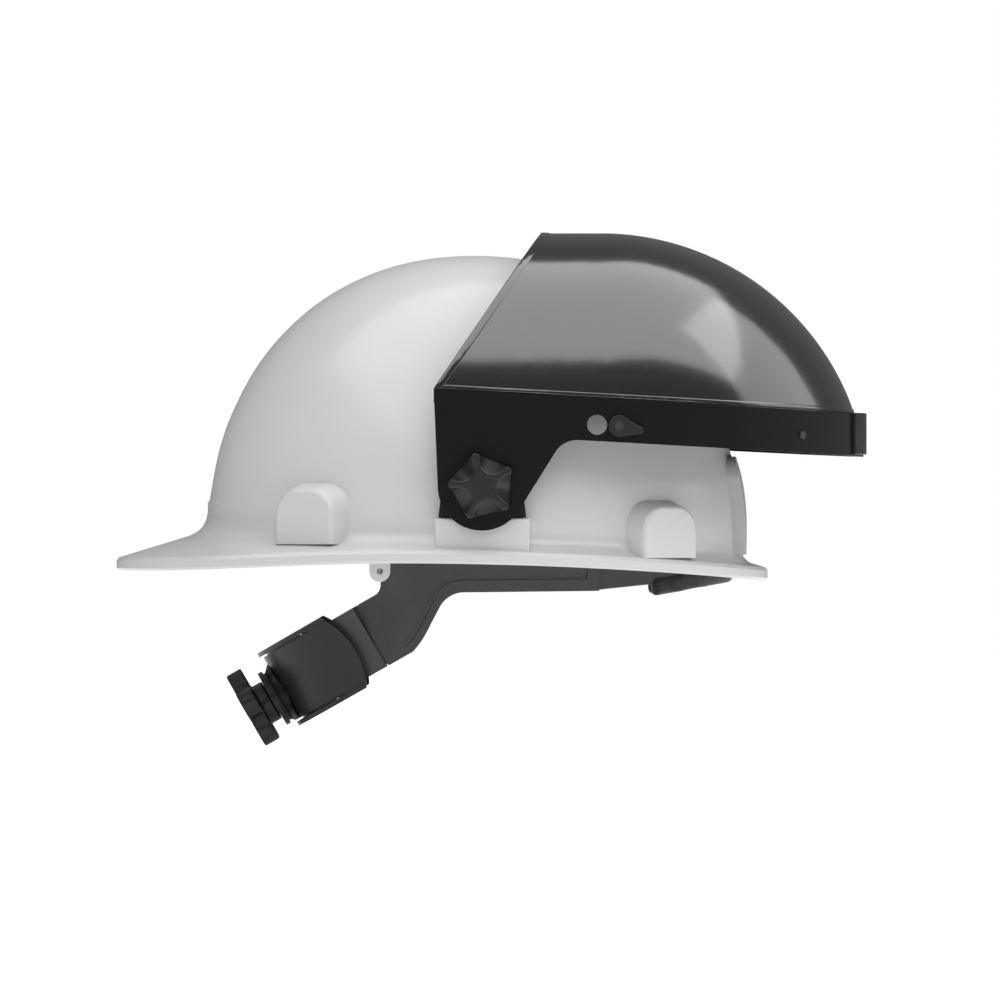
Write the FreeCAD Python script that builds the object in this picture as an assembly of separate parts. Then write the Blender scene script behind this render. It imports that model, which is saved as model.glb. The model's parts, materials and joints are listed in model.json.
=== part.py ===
import FreeCAD, Part
import math
import os
from FreeCAD import Matrix, Placement, Rotation, Vector

# Cap-style safety helmet, worn with its bill to the back, with a face-shield carrier on its accessory slots.
# Millimetres. +X is the wearer's front, +Y the wearer's left, +Z up.
# The origin is the centre of the head opening, in the plane of the headband's lower edge.

# Shell: a superelliptic dome over an arched brim
shellHalfLength = 120.1
shellHalfWidth = 103.0
shellCentreX = -2.4
domeBase = 20.0
domeTop = 150.3
domeExponent = 2.15
shellWall = 2.5
brimWidth = 9.5
frontReach = 2.2
frontSharpness = 8.0
billLength = 41.0
billSharpness = 5.0
brimSlope = 0.306
brimPlate = 2.5
lipHeight = 5.4
lipWidth = 3.0
archPeakX = -35.0
archPeak = 12.6
archFrontFall = 0.0003
archRearFall = 3.6
archRearLength = 127.0
ringPoints = 40
domeTurns = (89.3, 84, 77, 69, 61, 52, 43, 34, 25, 16, 9)
blankWall = 7.0
blankFloor = 60.0
edgeRound = 1.0
lipRound = 1.2
lipDraft = 0.4
brimBends = (0, 30, 60, 90)

# Raised panel at the wearer's front
panelWidth = 56.0
panelBottom = 16.0
panelTop = 60.0
panelProud = 2.6
panelCorner = 10.0
panelFlatness = 1.7
panelFade = 12.0
panelTurns = (70, 55, 40, 25, 12, 4)

# Suspension bosses and the keys in them
bossAngles = {"rear": 126.3, "front": 47.0}
bossWidth = 37.0
bossDepth = 8.5
bossRises = {"rear": 28.0, "front": 27.0}
bossCorner = 13.0
bossDraft = 3.6
bossRound = 2.2
socketWidth = 20.0
socketThick = 4.0
socketRoof = 8.0
socketInset = 0.3
keyClearance = 0.3
keyThick = 3.0
keyDrop = 4.5
keyShelf = 2.6
keyRise = 22.0
keyWallGap = 1.2
keyRim = 4.0
keyWindowLow = 9.0
keyWindowHigh = 13.0

# Accessory slot and the adapter that stands in it
slotCentreX = 1.2
slotBlockHalf = 20.8
slotTop = 32.4
slotBottom = 19.0
bladeGap = 0.6
bladeThick = 3.0
slotWall = 1.6
slotClearance = 0.2
slotRound = 1.0
bladeHalfBottom = 18.0
bladeTop = 60.0
bladeHalfTop = 13.0
bladeTopBevel = (4.0, 8.0)
bladeShoulder = 1.4

# Chin-strap lugs
lugX = -44.0
lugZ = 9.0
lugRadius = 4.6
lugHole = 1.4
lugThick = 3.0
lugInset = 5.0
lugRoot = 0.6

# Carrier: pivot, arms, rail and crown
pivotX = 1.0
pivotZ = 46.4
boltRadius = 3.0
runningGap = 0.05
boltHeadRadius = 6.0
boltHeadThick = 2.0
boltTipGap = 0.5
insertEnd = 0.4
washerThick = 1.8
washerRadius = 11.0
sideGap = 0.3
frameThick = 3.0
armEndRadius = 19.4
armFrontSlope = 58.0
frameRearX = -20.2
railTopRear = 89.3
railSlope = 3.1
railHeight = 19.0
railFillet = 11.0
frontCentreX = 58.0
frontHalfLength = 114.5
crownWall = 2.0
crownTop = 160.3
crownCurve = 2.7
crownNoseRadius = 120.0
crownNoseX = 55.0
crownSkirt = 6.0
crownGap = 0.2
crownRearX = -60.0
crownTurns = (0, 8, 17, 27, 38, 50, 62, 73, 82, 87)
rimTopX = 28.0
stripHalf = 36.0
stripThick = 1.4
stripTop = 0.6
stripFoot = 1.0

# Star knobs
knobRadius = 15.0
knobCorners = 5
knobCornerRadius = 1.6
knobThick = 11.0
knobTurn = 113.0
fluteRadius = 6.6
fluteStart = 6.2
fluteEnd = 12.6
fluteFoot = 2.6
insertRadius = 5.0
insertLength = 8.0

# Window latches, pins and rail holes
railHoleX = 51.7
railHoleDrop = 11.8
railHoleRadius = 4.4
latchX = 61.5
latchDrop = 11.8
latchLength = 10.6
latchRadius = 4.7
latchThick = 2.6
latchTip = 3.4
latchTipDrop = 1.9
latchBackTurn = 20.0
latchPinRadius = 2.0
latchPinFlange = 1.5
pinHeadThick = 1.3
windowPinX = 143.0
windowPinRadius = 1.9
windowPinRise = 0.6
windowPinProud = 0.6
windowPinTail = 1.5
windowPinFlange = 1.2

# Headband, nape straps, crown straps and sweatband
bandCentreX = 10.0
bandHalfLength = 102.0
bandHalfWidth = 78.0
bandThick = 2.0
bandTop = 31.0
bandRearBottom = 15.0
bandRearX = -16.0
bandBottom = 0.6
bandLiftX = 52.0
bandLift = 0.1
strapGap = 0.4
strapThick = 2.4
strapFrontX = 53.0
strapTop = 22.0
strapBottom = 0.2
beadInset = 4.0
beadWidth = 1.3
beadProud = 0.6
beadStartX = -33.5
beadStartZ = -17.0
beadFrontZ = 9.0
strapCurveSteps = (0, 20, 40)
strapCurveLead = 14.0
strapTopStraight = 10.0
strapLowStraight = 12.5
bandStep = 8.0
tapeWidth = 20.0
tapeThick = 1.2
tapeRise = 92.0
tapeFoot = 24.0
tapeClearance = 0.859
tapeArch = 0.8
tapeSteps = 12
sweatbandFrontX = 76.0
padThick = 4.0
padHem = 1.6
padHemTop = 5.0
padLift = 0.17
padFoldShare = 0.7
padTopGap = 6.0

# Ratchet at the nape, in its own frame: X out along the knob's axis, Z across the strap.
# The centre of the racks' arc is at zero.
ratchetTilt = 30.0
caseOuterX = -88.2
caseOuterZ = -46.2
arcRadius = 54.0
rackThick = 1.2
rackSplit = 0.1
rackHeight = 30.0
rackRaise = 2.5
channelGap = 0.4
channelSide = 0.5
caseWall = 2.5
coverWall = 2.2
caseSide = 3.2
caseHalfAngle = 71.0
caseEndTop = 26.6
caseEndMiddle = 19.8
caseEndBottom = 23.9
cuffWidth = 8.2
cuffProud = 1.0
flangeThick = 2.0
flangeProud = 1.6
flangeSlit = 0.9
flangeSlitDepth = 2.0
rackTip = 34.0
rackThinEnd = 64.0
rackEnd = 78.0
slotNear = 29.0
slotFar = 25.0
pitchRadius = 5.0
pinionTeeth = 10
toothDepth = 1.8
toothClear = 0.4
toothRootHalf = 0.75
toothTipHalf = 0.36
toothSink = 0.3
rackEdge = 0.5
pinionRoot = 0.2
pinionEndGap = 0.6
pinionFloorGap = 0.1
neckRadius = 12.0
neckLength = 6.0
collarRadius = 13.3
collarThick = 2.0
flareWidth = 3.2
flareSink = 0.2
shaftRadius = 3.5
hubRadius = 9.5
hubLength = 5.2
shaftGrip = 3.0
dialRadius = 19.3
dialThick = 7.4
dialLobes = 5
dialLobeDepth = 6.2
dialTurn = 36.0
dialGap = 0.4
lobePoints = 8
lobeFullness = 0.6
detentRadius = 8.6
detentNotches = 24
detentNose = 0.7
detentTrack = 0.9
detentRecess = 1.2
detentHub = 5.6
detentArm = 1.6
detentArmTurn = 70.0
detentNoseTurn = 64.0
detentRootRadius = 5.0
napePadThick = 3.5
napePadHalfAngle = 40.0
napePadHem = 1.5
screwRadius = 0.9
screwGrip = 4.0
screwHeadRadius = 1.5
screwHeadThick = 1.1
screwSeat = 0.05
screwAngle = 48.0
screwClearance = 0.05
coverSeam = 1.55
coverLap = 0.05
coverGap = 0.2
coverEndGap = 0.5
buttGap = 0.9

# How far a cutting shape runs past what it cuts, a height above the whole carrier, and how near is touching
beyond = 5.0
aboveAll = 120.0
tiny = 1e-3


def moved(shape, x=0.0, y=0.0, z=0.0):
    copy = shape.copy()
    copy.translate(Vector(x, y, z))
    return copy


def turned(shape, angle, axis=Vector(0, 0, 1), centre=Vector(0, 0, 0)):
    copy = shape.copy()
    copy.rotate(centre, axis, angle)
    return copy


def mirrored(shape):
    return shape.mirror(Vector(0, 0, 0), Vector(0, 1, 0))


def onSide(shape, side):
    """A shape drawn on the wearer's left, placed on the side asked for."""
    return shape if side == "left" else mirrored(shape)


def outlineWire(steps, place):
    """Closed wire through steps: (a, b) is a straight run's end, (ma, mb, a, b) an arc's middle and end."""
    points = [place(*step[-2:]) for step in steps]
    edges = []
    for index, step in enumerate(steps):
        start, end = points[index - 1], points[index]
        if len(step) == 4:
            edges.append(Part.Arc(start, place(*step[:2]), end).toShape())
        elif start.distanceToPoint(end) > tiny:
            edges.append(Part.LineSegment(start, end).toShape())
    return Part.Wire(edges)


def sidePrism(steps, y0, y1):
    """Solid between y0 and y1 with an outline of (x, z) steps."""
    wire = outlineWire(steps, lambda x, z: Vector(x, y0, z))
    return Part.Face(wire).extrude(Vector(0, y1 - y0, 0))


def planPrism(steps, z0, z1):
    wire = outlineWire(steps, lambda x, y: Vector(x, y, z0))
    return Part.Face(wire).extrude(Vector(0, 0, z1 - z0))


def box(x0, x1, y0, y1, z0, z1):
    return Part.makeBox(x1 - x0, y1 - y0, z1 - z0, Vector(x0, y0, z0))


def pinY(radius, x, z, y0, y1):
    return Part.makeCylinder(radius, y1 - y0, Vector(x, y0, z), Vector(0, 1, 0))


def unite(shapes):
    whole = shapes[0]
    for other in shapes[1:]:
        whole = whole.fuse(other)
    return whole.removeSplitter()


def ringWire(pointAt, half=False):
    """Smooth wire through pointAt(angle) round the plan, closed, or only the wearer's left half of it."""
    points = [pointAt(2 * math.pi * index / ringPoints - math.pi / 2) for index in range(ringPoints)]
    curve = Part.BSplineCurve()
    places = [index / ringPoints for index in range(ringPoints + 1)]
    curve.interpolate(Points=points, PeriodicFlag=True, Parameters=places)
    return Part.Wire([curve.toShape(0.25, 0.75) if half else curve.toShape()])


def halfBody(rings):
    """Left half of the body whose skin runs through lists of half rings, straight between only two."""
    faces = []
    for run in rings:
        faces += Part.makeLoft(run, False, len(run) == 2).Faces
    for ring in (rings[0][0], rings[-1][-1]):
        start, end = (ring.Edges[0].valueAt(u) for u in ring.Edges[0].ParameterRange)
        faces.append(Part.Face(Part.Wire(ring.Edges + [Part.LineSegment(end, start).toShape()])))
    skin = Part.Shell(faces)
    skin.sewShape()
    seam = [edge for edge in skin.Edges if max(
        abs(edge.valueAt(u).y) for u in (*edge.ParameterRange, sum(edge.ParameterRange) / 2)) < tiny / 10]
    faces.append(Part.Face(Part.Wire(Part.__sortEdges__(seam))))
    skin = Part.Shell(faces)
    skin.sewShape()
    solid = Part.Solid(skin)
    if solid.Volume < 0:
        solid.reverse()
    return solid


# Shell

def shellPlan(angle, offset):
    """Point of the dome's plan ellipse, moved outward by offset, and the outward direction there."""
    x = shellHalfLength * math.cos(angle)
    y = shellHalfWidth * math.sin(angle)
    nx = math.cos(angle) / shellHalfLength
    ny = math.sin(angle) / shellHalfWidth
    length = math.hypot(nx, ny)
    return shellCentreX + x + offset * nx / length, y + offset * ny / length, nx / length, ny / length


def billShare(angle):
    return ((1 - math.cos(angle)) / 2) ** billSharpness


def overhang(angle):
    frontShare = ((1 + math.cos(angle)) / 2) ** frontSharpness
    return brimWidth + (billLength - brimWidth) * billShare(angle) + frontReach * frontShare


def archHeight(x):
    """Height of the lip's lower edge: the brim is highest at its sides."""
    if x > archPeakX:
        return archPeak - archFrontFall * (x - archPeakX) ** 2
    turn = math.pi * min(1.0, (archPeakX - x) / archRearLength)
    return archPeak - archRearFall * (1 - math.cos(turn)) / 2


def brimTop(angle, offset):
    edgeX = shellPlan(angle, overhang(angle))[0]
    return archHeight(edgeX) + lipHeight + brimSlope * (overhang(angle) - offset)


def domeRing(turn, wall):
    """Level half ring of the dome at a turn from its base, set in by the wall."""
    share = math.cos(turn) ** (2 / domeExponent)
    z = domeBase + (domeTop - domeBase - wall) * math.sin(turn) ** (2 / domeExponent)
    halfX = (shellHalfLength - wall) * share
    halfY = (shellHalfWidth - wall) * share
    return ringWire(lambda a: Vector(shellCentreX + halfX * math.cos(a), halfY * math.sin(a), z), True)


def brimRing(offsetAt, heightAt):
    def point(angle):
        offset = offsetAt(angle)
        x, y, _, _ = shellPlan(angle, offset)
        return Vector(x, y, heightAt(angle, offset))
    return ringWire(point, True)


def filletRadius(angle):
    return brimWidth / 2 + (lipHeight - 2) * billShare(angle)


def makeShellBlank():
    """The shell's outside as a thick-walled blank, its inside still to be cut to the wall."""
    turns = [math.radians(a) for a in domeTurns]
    outer = [domeRing(turn, 0.0) for turn in turns]
    for bend in brimBends:
        lean = math.radians(bend)
        outer.append(brimRing(
            lambda a: filletRadius(a) * (1 - math.cos(lean)),
            lambda a, offset: brimTop(a, offset) + filletRadius(a) * (1 - math.sin(lean))))
    edgeRows = [
        (lambda a: overhang(a) - edgeRound, brimTop),
        (lambda a: overhang(a), lambda a, o: brimTop(a, o) - lipRound),
        (lambda a: overhang(a), lambda a, o: brimTop(a, o) - lipHeight + edgeRound),
        (lambda a: overhang(a) - edgeRound, lambda a, o: brimTop(a, overhang(a)) - lipHeight),
        (lambda a: overhang(a) - lipWidth, lambda a, o: brimTop(a, overhang(a)) - lipHeight),
        (lambda a: overhang(a) - lipWidth - lipDraft, lambda a, o: brimTop(a, o) - brimPlate),
        (lambda a: -blankWall, lambda a, o: brimTop(a, 0) - brimPlate),
    ]
    edge = [outer[-1]] + [brimRing(*row) for row in edgeRows]
    edge.append(ringWire(lambda a: Vector(*shellPlan(a, -2 * blankWall)[:2], blankFloor), True))
    return halfBody([outer] + [list(pair) for pair in zip(edge, edge[1:])])


def domeCore(inset):
    """Solid filling the dome's inside down to below the brim."""
    rings = [domeRing(math.radians(a), inset) for a in domeTurns]
    floor = [ringWire(lambda a: Vector(*shellPlan(a, -inset)[:2], z), True) for z in (domeBase, -2 * beyond)]
    return halfBody([rings + floor[:1], floor])


def wallFrame(angle):
    """Placement on the dome's base ellipse: X outward, Y along the wall, Z up."""
    x, y, nx, ny = shellPlan(math.radians(angle), 0)
    return Placement(Vector(x, y, 0), Rotation(Vector(0, 0, 1), math.degrees(math.atan2(ny, nx))))


def placed(shape, placement):
    copy = shape.copy()
    copy.Placement = placement.multiply(copy.Placement)
    return copy


def underBrim(angle):
    return brimTop(math.radians(angle), 0) - brimPlate


def bossWire(half, top, corner, low, x):
    """Arched outline on an upright plane at x, of a boss half so wide and so high."""
    bend = corner * (1 - math.sqrt(0.5))
    steps = [
        (-half, low), (half, low), (half, top - corner),
        (half - bend, top - bend, half - corner, top),
        (corner - half, top),
        (bend - half, top - bend, -half, top - corner),
    ]
    return outlineWire(steps, lambda y, z: Vector(x, y, z))


def bossBlock(name):
    """Arched boss on the wall, drafted towards its face."""
    angle = bossAngles[name]
    low = underBrim(angle) + brimPlate / 4
    top = underBrim(angle) + bossRises[name]
    root = bossWire(bossWidth / 2, top, bossCorner, low, -blankWall / 2)
    face = bossWire(bossWidth / 2 - bossDraft, top - bossDraft, bossCorner - bossDraft / 2, low, bossDepth)
    block = Part.makeLoft([root, face], True, True)
    rim = [edge for edge in block.Edges if abs(edge.CenterOfMass.x - bossDepth) < tiny
           and edge.CenterOfMass.z > low + 1]
    return placed(block.makeFillet(bossRound, rim), wallFrame(angle))


def socket(name):
    angle = bossAngles[name]
    hole = box(socketInset, socketInset + socketThick, -socketWidth / 2, socketWidth / 2, -2 * beyond,
               underBrim(angle) + bossRises[name] - socketRoof)
    return placed(hole, wallFrame(angle))


def slotPlanes():
    """Distances from the middle plane of the blade's inner and outer face."""
    inner = shellHalfWidth + bladeGap
    return inner, inner + bladeThick


def makeSlotBlock():
    bladeIn, bladeOut = slotPlanes()
    outerFace = bladeOut + slotClearance + slotWall
    block = box(slotCentreX - slotBlockHalf, slotCentreX + slotBlockHalf,
                shellHalfWidth - blankWall / 2, outerFace, slotBottom - 3, slotTop)
    rim = [edge for edge in block.Edges if abs(edge.CenterOfMass.y - outerFace) < tiny
           and edge.CenterOfMass.z > slotBottom]
    block = block.makeFillet(slotRound, rim)
    half = bladeHalfBottom + slotClearance
    pocket = box(slotCentreX - half, slotCentreX + half, bladeIn - slotClearance, bladeOut + slotClearance,
                 slotBottom, slotTop + 1)
    return block, pocket


def makeLug():
    lugY = abs(shellPlan(math.acos((lugX - shellCentreX) / shellHalfLength), lugInset)[1])
    plate = pinY(lugRadius, lugX, lugZ, lugY - lugThick / 2, lugY + lugThick / 2)
    neck = box(lugX - lugRadius, lugX + lugRadius, lugY - lugThick / 2, lugY + lugThick / 2,
               lugZ, archPeak + lipHeight + lugRoot)
    hole = pinY(lugHole, lugX, lugZ, lugY - lugThick, lugY + lugThick)
    return plate.fuse(neck), hole


def makePanel():
    """Flatter panel proud of the dome's front."""
    reach = shellHalfLength + panelProud + 4 * beyond
    panel = box(reach / 2, reach, -panelWidth / 2, panelWidth / 2, panelBottom, panelTop)
    topCorners = [edge for edge in panel.Edges if abs(edge.tangentAt(0).x) > 0.9
                  and edge.CenterOfMass.z > panelTop - 1]
    return panel.makeFillet(panelCorner, topCorners).common(panelProfile())


def makeShell():
    block, pocket = makeSlotBlock()
    lug, lugBore = makeLug()
    additions = [makePanel(), block, lug] + [bossBlock(name) for name in bossAngles]
    holes = [pocket, lugBore] + [socket(name) for name in bossAngles]
    reach = 2 * shellHalfLength
    leftHalf = box(-reach, reach, 0, reach, -reach, reach)
    half = makeShellBlank()
    for piece in additions:
        half = half.fuse(piece.common(leftHalf))
    half = half.cut(domeCore(shellWall))
    for hole in holes:
        half = half.cut(hole)
    return half.fuse(mirrored(half)).removeSplitter()


def panelProfile():
    """Solid with the dome's profile, flatter across and a little prouder, for the front panel's face."""
    wide = shellHalfWidth * panelFlatness
    rings = []
    for degrees in panelTurns:
        turn = math.radians(degrees)
        share = math.cos(turn) ** (2 / domeExponent)
        z = domeBase + (domeTop - domeBase) * math.sin(turn) ** (2 / domeExponent)
        fade = min(1.0, max(0.0, (panelTop + panelFade / 3 - z) / panelFade))
        rings.append((shellHalfLength * share + panelProud * fade, wide * share, z))
    rings.append((shellHalfLength + panelProud, wide, 0))
    wires = [ringWire(lambda a: Vector(shellCentreX + hx * math.cos(a), hy * math.sin(a), z))
             for hx, hy, z in rings]
    return Part.makeLoft(wires, True)


# Carrier

def frameFaces():
    """Distances from the middle plane of the arms' inner and outer face."""
    inner = slotPlanes()[1] + washerThick + sideGap
    return inner, inner + frameThick


def noseArc(x, halfLength, halfWidth, z):
    """Front half of a level ellipse with its centre at x, whichever way it is longer."""
    centre = Vector(x, 0, z)
    if halfLength >= halfWidth:
        return Part.Arc(Part.Ellipse(centre, halfLength, halfWidth), -math.pi / 2, math.pi / 2).toShape()
    wide = Part.Ellipse(centre + Vector(0, halfWidth, 0), centre + Vector(halfLength, 0, 0), centre)
    return Part.Arc(wide, 0, math.pi).toShape()


def halfRing(halfLength, halfWidth, z0, z1, rear):
    """Solid with a plan of straight sides from the rear and a half ellipse in front."""
    nose = noseArc(frontCentreX, halfLength, halfWidth, z0)
    corners = [Vector(frontCentreX, halfWidth, z0), Vector(rear, halfWidth, z0),
               Vector(rear, -halfWidth, z0), Vector(frontCentreX, -halfWidth, z0)]
    sides = [Part.LineSegment(a, b).toShape() for a, b in zip(corners, corners[1:])]
    return Part.Face(Part.Wire([nose] + sides)).extrude(Vector(0, 0, z1 - z0))


def railTop(x):
    return railTopRear - (x - frameRearX) * math.tan(math.radians(railSlope))


def frameOutline():
    """Side outline of the frame: rail on top, arm down to the pivot."""
    endX = frontCentreX + frontHalfLength + beyond
    slope = math.radians(armFrontSlope)
    fall = math.radians(railSlope)
    touch = Vector(pivotX + armEndRadius * math.sin(slope), 0, pivotZ - armEndRadius * math.cos(slope))
    lowStart = railTop(0) - railHeight
    run = (lowStart - touch.z + touch.x * math.tan(slope)) / (math.tan(slope) + math.tan(fall))
    cornerX, cornerZ = run, lowStart - run * math.tan(fall)
    tangent = railFillet * math.tan((slope + fall) / 2)
    before = (cornerX - tangent * math.cos(slope), cornerZ - tangent * math.sin(slope))
    after = (cornerX + tangent * math.cos(fall), cornerZ - tangent * math.sin(fall))
    centreX = before[0] + railFillet * math.sin(slope)
    centreZ = before[1] - railFillet * math.cos(slope)
    middle = math.radians(90) + (slope - fall) / 2
    bend = (centreX + railFillet * math.cos(middle), centreZ + railFillet * math.sin(middle))
    leftX = pivotX - armEndRadius
    return [
        (frameRearX, railTopRear), (leftX, pivotZ),
        (pivotX, pivotZ - armEndRadius, touch.x, touch.z),
        before, bend + after,
        (endX, railTop(endX) - railHeight), (endX, railTop(endX)),
    ]


def makeFrame():
    inner, outer = frameFaces()
    wall = halfRing(frontHalfLength, outer, 0, aboveAll, frameRearX).cut(
        halfRing(frontHalfLength - frameThick, inner, -1, aboveAll + 1, frameRearX - 1))
    reach = outer + beyond
    frame = wall.common(sidePrism(frameOutline(), -reach, reach))
    holes = [
        pinY(boltRadius + runningGap, pivotX, pivotZ, -reach, reach),
        pinY(railHoleRadius, railHoleX, railTop(railHoleX) - railHoleDrop, -reach, reach),
        pinY(latchPinRadius + runningGap, latchX, latchHeight(), -reach, reach),
    ]
    for side in (1, -1):
        holes.append(windowPin(side, windowPinRadius, -frameThick - beyond, beyond))
    return frame.cut(Part.makeCompound(holes))


def windowPin(side, radius, start, end):
    """Round pin through the curved front of the rail, along the wall's normal."""
    outer = frameFaces()[1]
    share = (windowPinX - frontCentreX) / frontHalfLength
    y = outer * math.sqrt(1 - share ** 2)
    normal = Vector(share / frontHalfLength, y / outer ** 2, 0).normalize()
    z = railTop(windowPinX) - railHoleDrop + windowPinRise
    base = Vector(windowPinX, y, z) + normal * start
    pin = Part.makeCylinder(radius, end - start, base, normal)
    return pin if side > 0 else mirrored(pin)


def makeWindowPin(side):
    tail = -frameThick - windowPinTail
    shank = windowPin(side, windowPinRadius, tail, windowPinProud)
    return shank.fuse(windowPin(side, windowPinRadius + windowPinFlange, tail, -frameThick - sideGap))


def makeStrip():
    outer = frameFaces()[1]
    top, bottom = railTop(frontCentreX + frontHalfLength), -railHeight
    low, high = top + bottom + stripFoot, top + stripTop
    ring = halfRing(frontHalfLength + stripThick, outer + stripThick, low, high, 0)
    ring = ring.cut(halfRing(frontHalfLength, outer, 0, aboveAll, -1))
    return ring.common(box(frontCentreX, 2 * frontHalfLength, -stripHalf, stripHalf, 0, aboveAll))


def crownBody(inset):
    """Filled crown: level sections from the rail to the top, set in from the outer skin."""
    inner = frameFaces()[0] - crownGap - inset
    base = railTop(frontCentreX + frontHalfLength) - crownSkirt - beyond - 1
    rise = crownTop - inset - base
    wires = []
    for degrees in crownTurns:
        turn = math.radians(degrees)
        z = base + rise * math.sin(turn) ** (2 / crownCurve)
        halfY = inner * math.cos(turn) ** (2 / crownCurve)
        noseZ = crownTop - crownNoseRadius
        reach = math.sqrt(max(1.0, (crownNoseRadius - inset) ** 2 - max(0.0, z - noseZ) ** 2))
        frontX = min(frontCentreX + frontHalfLength - frameThick - crownGap - inset, crownNoseX + reach)
        straight = frontCentreX
        nose = noseArc(straight, frontX - straight, halfY, z)
        ends = [Vector(straight, halfY, z), Vector(crownRearX, halfY, z),
                Vector(crownRearX, -halfY, z), Vector(straight, -halfY, z)]
        sides = [Part.LineSegment(a, b).toShape() for a, b in zip(ends, ends[1:])]
        curve = nose.toNurbs().Edges[0]
        wires.append(Part.Wire(Part.__sortEdges__([curve] + sides)))
    return Part.makeLoft(wires, True)


def rimPlane():
    """Side outline in front of the slanting rear rim, above the crown's skirt."""
    end = frontCentreX + frontHalfLength + beyond
    slant = (crownTop - railTopRear) / (rimTopX - frameRearX)
    top = crownTop + beyond
    return [
        (frameRearX, railTop(frameRearX) - crownSkirt), (end, railTop(end) - crownSkirt),
        (end, top), (rimTopX + beyond / slant, top), (frameRearX, railTopRear),
    ]


def makeCrown():
    reach = frameFaces()[1] + beyond
    side = sidePrism(rimPlane(), -reach, reach)
    return crownBody(0).cut(crownBody(crownWall)).common(side)


def makeAdapter(side):
    bladeIn, bladeOut = slotPlanes()
    shoulder = slotTop + sideGap
    bevelX, bevelZ = bladeTopBevel
    rightSide = [
        (bladeHalfBottom, slotBottom + 1), (bladeHalfBottom, shoulder),
        (bladeHalfBottom + bladeShoulder, shoulder), (bladeHalfTop + bevelX, bladeTop - bevelZ),
        (bladeHalfTop, bladeTop),
    ]
    steps = [(slotCentreX + x, z) for x, z in rightSide] + [(slotCentreX - x, z) for x, z in rightSide[::-1]]
    plate = sidePrism(steps, bladeIn, bladeOut)
    bore = pinY(boltRadius + runningGap, pivotX, pivotZ, bladeIn - 1, bladeOut + 1)
    recess = pinY(boltHeadRadius + runningGap, pivotX, pivotZ, bladeIn - 1, bladeIn + boltHeadThick)
    plate = plate.cut(bore).cut(recess)
    return onSide(plate, side)


def knobSeat():
    return frameFaces()[1] + sideGap


def makeBolt(side):
    bladeIn = slotPlanes()[0]
    head = pinY(boltHeadRadius, pivotX, pivotZ, bladeIn, bladeIn + boltHeadThick)
    tip = knobSeat() + insertLength - boltTipGap
    shank = pinY(boltRadius, pivotX, pivotZ, bladeIn + boltHeadThick / 2, tip)
    return onSide(head.fuse(shank), side)


def makeWasher(side):
    bladeOut = slotPlanes()[1]
    ring = pinY(washerRadius, pivotX, pivotZ, bladeOut, bladeOut + washerThick)
    bore = pinY(boltRadius + runningGap, pivotX, pivotZ, bladeOut - 1, bladeOut + washerThick + 1)
    return onSide(ring.cut(bore), side)


def lobedFace(radius, lobes, depth, height):
    """Level face with round lobes at an even spacing, its first lobe along the local X axis."""
    points = []
    count = lobes * lobePoints
    for index in range(count):
        angle = 2 * math.pi * index / count
        wave = 0.5 + 0.5 * math.cos(lobes * angle)
        reach = radius - depth * (1 - wave ** lobeFullness)
        points.append(Vector(reach * math.cos(angle), reach * math.sin(angle), height))
    curve = Part.BSplineCurve()
    curve.interpolate(Points=points, PeriodicFlag=True)
    return Part.Face(Part.Wire([curve.toShape()]))


def knobFlute(index):
    """Round cutter that hollows the knob's face between two corners, sloping down and outward."""
    run = fluteEnd - fluteStart
    drop = knobThick - fluteFoot
    length = math.hypot(run, drop)
    down = Vector(run / length, 0, -drop / length)
    lift = Vector(drop / length, 0, run / length)
    start = Vector(fluteStart, 0, knobThick) + lift * fluteRadius - down * length
    flute = Part.makeCylinder(fluteRadius, 3 * length, start, down)
    return turned(flute, 360 * (index + 0.5) / knobCorners)


def makeStarKnob(side):
    corner = knobRadius + knobCornerRadius * (1 / math.cos(math.pi / knobCorners) - 1)
    turns = [2 * math.pi * index / knobCorners for index in range(knobCorners + 1)]
    wire = Part.makePolygon([Vector(corner * math.cos(turn), corner * math.sin(turn), 0) for turn in turns])
    knob = Part.Face(wire).extrude(Vector(0, 0, knobThick))
    knob = knob.makeFillet(knobCornerRadius, [e for e in knob.Edges if abs(e.tangentAt(0).z) > 0.9])
    for index in range(knobCorners):
        knob = knob.cut(knobFlute(index))
    knob = knob.cut(Part.makeCylinder(insertRadius, insertLength, Vector(0, 0, 0)))
    knob = turned(turned(knob, knobTurn), -90, Vector(1, 0, 0))
    return onSide(moved(knob, pivotX, knobSeat(), pivotZ), side)


def makeInsert(side):
    seat = knobSeat()
    body = pinY(insertRadius, pivotX, pivotZ, seat, seat + insertLength)
    bore = pinY(boltRadius + runningGap, pivotX, pivotZ, seat - 1, seat + insertLength - insertEnd)
    return onSide(body.cut(bore), side)


def latchHeight():
    return railTop(latchX) - latchDrop


def makeLatch(side):
    """Teardrop lever, level along its lower edge."""
    face = frameFaces()[1] + sideGap
    z = latchHeight()
    tipX = latchX + latchLength
    tipZ = z - latchTipDrop
    back = math.radians(latchBackTurn)
    steps = [
        (latchX + latchRadius * math.sin(back), z + latchRadius * math.cos(back)),
        (latchX - latchRadius, z, latchX, z - latchRadius),
        (tipX - latchTip / 2, tipZ - latchTip / 2),
        (tipX, tipZ, tipX - latchTip / 2, tipZ + latchTip / 2),
    ]
    lever = sidePrism(steps, face, face + latchThick)
    return onSide(lever.cut(pinY(latchPinRadius, latchX, z, face - 1, face + latchThick + 1)), side)


def makeLatchPin(side):
    inner, outer = frameFaces()
    z = latchHeight()
    tail = inner - pinHeadThick - sideGap
    pin = pinY(latchPinRadius, latchX, z, tail, outer + sideGap + latchThick)
    head = pinY(latchPinRadius + latchPinFlange, latchX, z, tail, inner - sideGap)
    return onSide(pin.fuse(head), side)


# Suspension

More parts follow.
